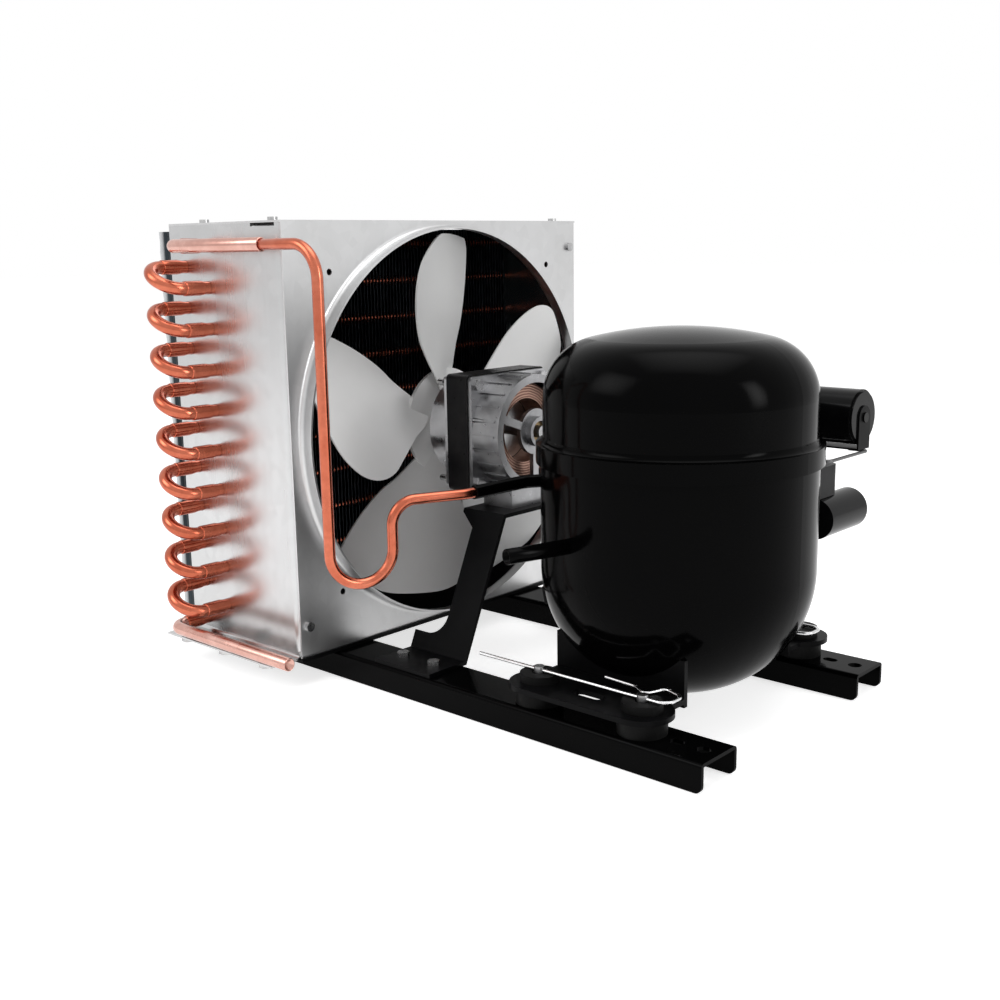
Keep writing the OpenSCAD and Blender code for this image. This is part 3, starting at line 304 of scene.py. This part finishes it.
def plastic(name, lo, hi, grain):
    m = Mat(name, specular=0.1)
    m.colour(m.ramp(m.noise(50.0, 4), (0.3, (0.003, 0.003, 0.0033)), (0.8, (0.007, 0.007, 0.0073))))
    m.rough(m.span(m.noise(150.0, 3), lo, hi))
    m.bump(m.noise(1300.0, 3), grain, 0.0001)
    return m.m


def steel(name, tone, lo, hi):
    m = Mat(name, metallic=1.0)
    m.colour(m.ramp(m.noise(90.0, 4), (0.3, (tone * 0.8,) * 3), (0.8, (tone, tone, tone * 1.02))))
    m.rough(m.span(m.noise((500.0, 500.0, 60.0), 3), lo, hi))
    m.bump(m.noise(900.0, 3), 0.08, 0.0001)
    return m.m


def iron():
    m = Mat("grey_iron_casting", metallic=0.9)
    m.colour(m.ramp(m.noise(200.0, 5), (0.3, (0.10, 0.10, 0.105)), (0.8, (0.22, 0.22, 0.23))))
    m.rough(m.span(m.noise(260.0, 4), 0.45, 0.65))
    m.bump(m.noise(700.0, 4), 0.4, 0.0002)
    return m.m


M = {
    "gloss_black": gloss_black(), "satin_black": satin_black(),
    "galvanised": galvanised("galvanised_sheet", 0.18, 0.32, 0.58),
    "shroud": galvanised("shroud_sheet", 0.3, 0.42, 0.62),
    "zinc": zinc(), "copper": copper("drawn_copper", (0.40, 0.085, 0.042), (0.62, 0.19, 0.115)),
    "pale_copper": copper("pale_copper", (0.52, 0.27, 0.22), (0.70, 0.44, 0.38)),
    "fin_stock": fin_metal(), "fan_sheet": fan_metal(),
    "die_cast": cast_metal("tumbled_die_cast", 0.50, 0.78), "lamination": laminations(),
    "winding": winding(), "bearing_bronze": bronze(), "rubber": rubber(),
    "black_plastic": plastic("moulded_black", 0.3, 0.45, 0.2),
    "can_black": plastic("capacitor_case", 0.1, 0.2, 0.03),
    "spring_wire": steel("bright_spring_wire", 0.78, 0.12, 0.25),
    "machined_steel": steel("machined_steel", 0.5, 0.22, 0.38), "grey_iron": iron(),
}
slots = {s["node"]: s["material_slot"] for s in frame["record"]["subparts"]}
# The motor's rear shell gets the die-cast colour darker (0.26 to 0.46 against 0.50 to 0.78), with
# the same roughness.
own = {"fan_shroud": M["shroud"], "motor_rear_shell": cast_metal("darker_die_cast", 0.26, 0.46),
       "cover_bail": steel("dull_wire", 0.14, 0.3, 0.45)}
for name, obj in nodes.items():
    m = own.get(name, M[slots[name]])
    obj.data.materials.clear()
    obj.data.materials.append(m)


# ---------------------------------------------------------------- helpers for pieces
def piece(name, verts, faces, material, body="unit", smooth=True):
    me = bpy.data.meshes.new(name)
    me.from_pydata([tuple(v) for v in verts], [], faces)
    me.update()
    o = bpy.data.objects.new(name, me)
    bpy.context.scene.collection.objects.link(o)
    me.materials.append(material)
    if smooth:
        for p in me.polygons:
            p.use_smooth = True
    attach(o, body)
    return o


# ---------------------------------------------------------------- camera
# Fitted to the photograph from the straight edges of the shroud and the rails
yaw, pitch, roll = (math.radians(v) for v in (42.18, 11.65, -0.943))
fwd = Vector((-math.sin(yaw) * math.cos(pitch), math.cos(yaw) * math.cos(pitch), -math.sin(pitch)))
right = Vector((math.cos(yaw), math.sin(yaw), 0))
up = right.cross(fwd)
r = right * math.cos(roll) + up * math.sin(roll)
u = up * math.cos(roll) - right * math.sin(roll)
cam_data = bpy.data.cameras.new("camera")
cam = bpy.data.objects.new("camera", cam_data)
bpy.context.scene.collection.objects.link(cam)
turned = Matrix((r, u, -fwd)).transposed().to_4x4()
cam.matrix_world = Matrix.Translation(at(580.5, -454.8, 265.8)) @ turned
cam_data.sensor_width = 36.0
cam_data.sensor_fit = "HORIZONTAL"
cam_data.lens = 36.0 * 1.2371
cam_data.clip_start = 0.01
bpy.context.scene.camera = cam


# ---------------------------------------------------------------- fin pack
def fin_pack():
    """Single corrugated fins, each a closed thin sheet with wavy edges."""
    x0, x1 = FIN_BACK, FIN_FRONT
    z0, z1 = BASE_Z + 1.6, BASE_Z + SHROUD_H - 4.6
    y0, y1 = 1.8, SHROUD_W - 1.8
    count = 88
    cols, rows = 22, 40
    half_t, corrugation, waver = 0.14, 0.45, 0.25
    verts, faces = [], []
    for k in range(count):
        y = y0 + (y1 - y0) * k / (count - 1)
        for side in (-half_t, half_t):
            for j in range(rows + 1):
                z = z0 + (z1 - z0) * j / rows
                for i in range(cols + 1):
                    x = x0 + (x1 - x0) * i / cols
                    wave = corrugation if i % 2 else -corrugation
                    edge = waver * math.sin(2 * math.pi * z / STAGGER + k) if i in (0, cols) else 0
                    verts.append(at(x, y + side + wave + edge, z))
        base = k * 2 * (rows + 1) * (cols + 1)
        n = (rows + 1) * (cols + 1)
        for j in range(rows):
            for i in range(cols):
                a = base + j * (cols + 1) + i
                b, c, d = a + 1, a + cols + 2, a + cols + 1
                faces.append((a, b, c, d))
                faces.append((d + n, c + n, b + n, a + n))
        for j in range(rows):
            for i, flip in ((0, True), (cols, False)):
                a = base + j * (cols + 1) + i
                d = a + cols + 1
                q = (a, d, d + n, a + n)
                faces.append(q if not flip else q[::-1])
        for i in range(cols):
            for j, flip in ((0, False), (rows, True)):
                a = base + j * (cols + 1) + i
                q = (a, a + n, a + n + 1, a + 1)
                faces.append(q if not flip else q[::-1])
    o = piece("fine_fin_pack", verts, faces, M["fin_stock"], smooth=False)
    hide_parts("fin_pack")


fin_pack()


# ---------------------------------------------------------------- tubes
RING = 24
SAME = 0.05
CLOSED = 0.01


def arc_path(points, radii, step=5.0):
    """A bent tube's centre line: straight runs, with an arc at each inner point."""
    pts = [Vector(p) for p in points]
    out = [pts[0]]
    for i in range(1, len(pts) - 1):
        into, away = (pts[i] - pts[i - 1]).normalized(), (pts[i + 1] - pts[i]).normalized()
        angle = into.angle(away)
        r = radii[i]
        centre = pts[i] + (away - into).normalized() * r / math.cos(angle / 2)
        e = (pts[i] - into * r * math.tan(angle / 2) - centre).normalized()
        axis = e.cross(into).normalized()
        n = max(2, round(math.degrees(angle) / step))
        for k in range(n + 1):
            p = centre + Matrix.Rotation(angle * k / n, 3, axis) @ e * r
            if (p - out[-1]).length > SAME:
                out.append(p)
    if (pts[-1] - out[-1]).length > SAME:
        out.append(pts[-1])
    return out


class Tubes:
    """Swept tubes gathered into one mesh."""

    def __init__(self):
        self.verts, self.faces = [], []

    def sweep(self, stations):
        """Rings along stations of centre and radius, closed into a loop of surfaces."""
        centres = [Vector(c) for c, _ in stations]
        tangents = []
        for i in range(len(centres)):
            a, b = centres[max(0, i - 1)], centres[min(len(centres) - 1, i + 1)]
            t = b - a
            if t.length < 1e-6:
                t = tangents[-1] if tangents else centres[1] - centres[0]
            tangents.append(t.normalized())
        side = tangents[0].orthogonal().normalized()
        base = len(self.verts)
        for (c, r), t in zip(stations, tangents):
            side = (side - t * side.dot(t)).normalized()
            other = t.cross(side)
            for k in range(RING):
                a = 2 * math.pi * k / RING
                self.verts.append(at(*(Vector(c) + (side * math.cos(a) + other * math.sin(a)) * r)))
        for j in range(len(stations) - 1):
            for k in range(RING):
                a, b = base + j * RING + k, base + j * RING + (k + 1) % RING
                self.faces.append((a, b, b + RING, a + RING))
        return base

    def tube(self, path, radius, wall, lip=0.35, bores=(12.0, 12.0)):
        """An open tube with rounded rims and a bore that is seen into."""
        path = [Vector(p) for p in path]
        r = radius if callable(radius) else (lambda s, total: radius)
        lengths = [0.0]
        for a, b in zip(path, path[1:]):
            lengths.append(lengths[-1] + (b - a).length)
        total = lengths[-1]
        outer = []
        d0, d1 = (path[1] - path[0]).normalized(), (path[-1] - path[-2]).normalized()
        outer.append((path[0], r(0, total) - lip))
        outer.append((path[0] + d0 * lip * 0.3, r(0, total) - lip * 0.3))
        outer.append((path[0] + d0 * lip, r(lip, total)))
        for p, s in list(zip(path, lengths))[1:-1]:
            outer.append((p, r(s, total)))
        outer.append((path[-1] - d1 * lip, r(total - lip, total)))
        outer.append((path[-1] - d1 * lip * 0.3, r(total, total) - lip * 0.3))
        outer.append((path[-1], r(total, total) - lip))
        first = self.sweep(outer)
        ends = ((path[0], d0, first, bores[0]), (path[-1], -d1, len(self.verts) - RING, bores[1]))
        for end, d, anchor, depth in ends:
            bore, floor_at = r(0, total) - wall, end + d * depth
            b = self.sweep([(end, bore), (floor_at, bore), (floor_at, CLOSED)])
            near = [min(range(b, b + RING),
                        key=lambda j: (self.verts[anchor + k] - self.verts[j]).length)
                    for k in range(RING)]
            for k in range(RING):
                k2 = (k + 1) % RING
                if near[k] != near[k2]:
                    self.faces.append((anchor + k, near[k], near[k2], anchor + k2))

    def done(self, name, material, node, body="unit"):
        o = piece(name, self.verts, self.faces, material, body)
        bm = bmesh.new()
        bm.from_mesh(o.data)
        bmesh.ops.remove_doubles(bm, verts=bm.verts, dist=1e-6)
        bmesh.ops.recalc_face_normals(bm, faces=bm.faces)
        bm.to_mesh(o.data)
        bm.free()
        for p in o.data.polygons:
            p.use_smooth = True
        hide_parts(node)
        return o


COIL_R, BELL_R = 4.0, 4.55
BELL_L, SEAT = 17.5, 8.0
BEND_R = math.hypot(BACK_ROW - FRONT_ROW, STAGGER) / 2
HEADER_Y, HEADER_R = -27.0, 9.5
MOUTH_L, MOUTH_ROLL = 1.2, 0.12
TAPER_FROM, TAPER_TO = 6.0, 3.0
TUBE_WALL, BELL_WALL, PIPE_WALL = 0.75, 0.5, 0.775
LINE_R, LINE_TOP_R, LINE_BEND_R, STUB_BEND_R = 3.175, 19.0, 18.5, 14.0


def front_z(i):
    return FIRST_Z - i * PITCH


def back_z(i):
    return FIRST_Z - STAGGER - i * PITCH


def bell_radius(s, total):
    """The bell at both ends of a hairpin: a rolled mouth, then a taper inside the plate."""
    s = min(s, total - s)
    if s < MOUTH_L:
        return BELL_R - MOUTH_ROLL * (1 - s / MOUTH_L)
    if s < BELL_L - TAPER_FROM:
        return BELL_R
    if s < BELL_L - TAPER_TO:
        return BELL_R + (COIL_R - BELL_R) * (s - BELL_L + TAPER_FROM) / (TAPER_FROM - TAPER_TO)
    return COIL_R


hair = Tubes()
far = SHROUD_W + 6.0
for i in range(TUBES):
    front = Vector((FRONT_ROW, -BELL_L, front_z(i)))
    back = Vector((BACK_ROW, -BELL_L, back_z(i)))
    stops = (MOUTH_L / 2, MOUTH_L, BELL_L - TAPER_FROM, BELL_L - TAPER_TO)
    lead = [front + Vector((0, s, 0)) for s in stops]
    tail = [back + Vector((0, s, 0)) for s in reversed(stops)]
    bend = arc_path([front, (FRONT_ROW, far + BEND_R, front_z(i)),
                     (BACK_ROW, far + BEND_R, back_z(i)), back], [0, BEND_R, BEND_R, 0])
    hair.tube([front] + lead + bend[1:-1] + tail + [back], bell_radius, BELL_WALL)
hair.done("smooth_hairpins", M["copper"], "coil_hairpins")


bends = Tubes()
for i in range(TUBES - 1):
    a = Vector((BACK_ROW, SEAT - BELL_L, back_z(i)))
    b = Vector((FRONT_ROW, SEAT - BELL_L, front_z(i + 1)))
    out = Vector((0, -SEAT - BEND_R, 0))
    bends.tube(arc_path([a, a + out, b + out, b], [0, BEND_R, BEND_R, 0]), COIL_R, TUBE_WALL)
bends.done("smooth_return_bends", M["copper"], "return_bends")

inlet = Tubes()
inlet.tube(arc_path([(FRONT_ROW, SEAT - BELL_L, FIRST_Z), (FRONT_ROW, HEADER_Y, FIRST_Z),
                     (19.5, HEADER_Y, FIRST_Z)], [0, HEADER_R, 0]), COIL_R, PIPE_WALL)
inlet.done("smooth_inlet_pipe", M["pale_copper"], "inlet_pipe")

last = back_z(TUBES - 1)
liquid = Tubes()
liquid.tube(arc_path([(BACK_ROW, SEAT - BELL_L, last), (BACK_ROW, HEADER_Y, last),
                      (24.5, HEADER_Y, last)], [0, HEADER_R, 0]),
            COIL_R, TUBE_WALL, bores=(12.0, 70.0))
liquid.done("smooth_liquid_line", M["pale_copper"], "liquid_line")

LOOP = Vector((65.5, HEADER_Y, 81.0))
ACROSS = Vector((math.cos(math.radians(67)), math.sin(math.radians(67)), 0)) * 37.0
RUN_Z = 126.0
LOOP_UP = Vector((LOOP.x + ACROSS.x, LOOP.y + ACROSS.y, RUN_Z))
STUB_BEND, STUB_CORNER = Vector((98.5, 49.0, RUN_Z)), Vector((100.5, 98.0, RUN_Z))
STUB_DIR = (STUB_CORNER - STUB_BEND).normalized()
STUB_START = STUB_BEND + STUB_DIR * 5.0
line = Tubes()
line.tube(arc_path([(11.5, HEADER_Y, FIRST_Z), (LOOP.x, HEADER_Y, FIRST_Z), LOOP, LOOP + ACROSS,
                    LOOP_UP, STUB_BEND, STUB_START + STUB_DIR * 8.0],
                   [0, LINE_TOP_R, LINE_BEND_R, LINE_BEND_R, STUB_BEND_R, STUB_BEND_R, 0]),
          LINE_R, TUBE_WALL)
line.done("smooth_discharge_line", M["copper"], "discharge_line")


def shell_end(start, direction, radius):
    """The point where a stub's centre line enters the compressor's wall."""
    d = Vector((direction[0], direction[1], 0)).normalized()
    p = Vector((start[0] - COMP.x, start[1] - COMP.y, 0))
    b = p.dot(d)
    t = -b - math.sqrt(b * b - p.length_squared + radius * radius)
    return Vector(start) + d * t


# Both stubs end inside the compressor's wall
IN_WALL_R = 76.8
stub = Tubes()
turn = math.radians(54)
wall_end = shell_end(STUB_CORNER, (math.cos(turn), math.sin(turn)), IN_WALL_R)
stub.tube(arc_path([STUB_START, STUB_CORNER, wall_end], [0, STUB_BEND_R, 0]),
          COIL_R, PIPE_WALL, 0.5)
stub.done("smooth_discharge_stub", M["gloss_black"], "discharge_stub")

turn = math.radians(254)
away = Vector((math.cos(turn), math.sin(turn), 0))
suction = Tubes()
suction.tube([COMP + away * r + Vector((0, 0, 105.0)) for r in (116.5, 100.0, IN_WALL_R)],
             4.3, 1.0, 0.5, (30.0, 5.0))
suction.done("smooth_suction_stub", M["gloss_black"], "suction_stub")


# ---------------------------------------------------------------- floor, world and lamps
def stage_material(name, value, glow_share):
    """A pale floor that keeps the shadow and reads as white in view and in reflections."""
    m = bpy.data.materials.new(name)
    m.use_nodes = True
    n, l = links(m)
    n.clear()
    out = n.new("ShaderNodeOutputMaterial")
    diffuse = n.new("ShaderNodeBsdfDiffuse")
    diffuse.inputs["Color"].default_value = (value, value, value, 1)
    glow = n.new("ShaderNodeEmission")
    glow.inputs["Color"].default_value = (1, 1, 1, 1)
    path = n.new("ShaderNodeLightPath").outputs
    seen = maths(m.node_tree, "MAXIMUM", path["Is Camera Ray"], path["Is Glossy Ray"])
    l.new(maths(m.node_tree, "MULTIPLY", seen, glow_share), glow.inputs["Strength"])
    add = n.new("ShaderNodeAddShader")
    l.new(diffuse.outputs[0], add.inputs[0])
    l.new(glow.outputs[0], add.inputs[1])
    l.new(add.outputs[0], out.inputs["Surface"])
    return m


FLOOR_HALF, FLOOR_DROP = 12.0, -0.0005
me = bpy.data.meshes.new("floor")
corners = ((-1, -1), (1, -1), (1, 1), (-1, 1))
corners = [(x * FLOOR_HALF, y * FLOOR_HALF, FLOOR_DROP) for x, y in corners]
me.from_pydata(corners, [], [(0, 1, 2, 3)])
floor = bpy.data.objects.new("floor", me)
bpy.context.scene.collection.objects.link(floor)
me.materials.append(stage_material("pale_floor", 0.86, 0.72))

# A white surround for what the camera and the reflections see, and a dimmer one for diffuse light
WORLD_DIFFUSE = 0.35
world = bpy.data.worlds.new("studio")
bpy.context.scene.world = world
world.use_nodes = True
tree = world.node_tree
bg = tree.nodes["Background"]
bg.inputs["Color"].default_value = (1, 1, 1, 1)
path = tree.nodes.new("ShaderNodeLightPath").outputs
seen = maths(tree, "MAXIMUM", path["Is Camera Ray"], path["Is Glossy Ray"])
seen = maths(tree, "MAXIMUM", seen, path["Is Transmission Ray"])
level = tree.nodes.new("ShaderNodeMapRange")
level.inputs["To Min"].default_value = WORLD_DIFFUSE
level.inputs["To Max"].default_value = 1.0
tree.links.new(seen, level.inputs["Value"])
tree.links.new(level.outputs["Result"], bg.inputs["Strength"])

# The fade x(1-x)y(1-y) times this has a mean of one over the lamp
FADE_GAIN = 36.0


def lamp(name, where, aim, size, power):
    """An area lamp that fades out towards its edges."""
    d = bpy.data.lights.new(name, "AREA")
    d.shape = "RECTANGLE"
    d.size, d.size_y = size
    d.energy = power
    d.use_nodes = True
    tree = d.node_tree
    split = tree.nodes.new("ShaderNodeSeparateXYZ")
    place = tree.nodes.new("ShaderNodeNewGeometry").outputs["Parametric"]
    tree.links.new(place, split.inputs[0])
    across, along = (maths(tree, "MULTIPLY", v, maths(tree, "SUBTRACT", 1.0, v))
                     for v in split.outputs[:2])
    fade = maths(tree, "MULTIPLY", maths(tree, "MULTIPLY", across, along), FADE_GAIN)
    tree.links.new(fade, tree.nodes["Emission"].inputs["Strength"])
    o = bpy.data.objects.new(name, d)
    o.location = where
    o.rotation_euler = (Vector(aim) - Vector(where)).to_track_quat("-Z", "Y").to_euler()
    bpy.context.scene.collection.objects.link(o)


lamp("key", (-0.75, -1.4, 1.3), (0.0, 0.0, 0.12), (1.3, 1.3), 11)
lamp("top", (0.2, 0.1, 1.7), (0.05, 0.0, 0.1), (1.6, 1.6), 11)
lamp("side", (1.7, 0.25, 0.7), (0.05, 0.0, 0.12), (0.5, 1.3), 8)

bpy.context.scene.view_settings.view_transform = "Standard"
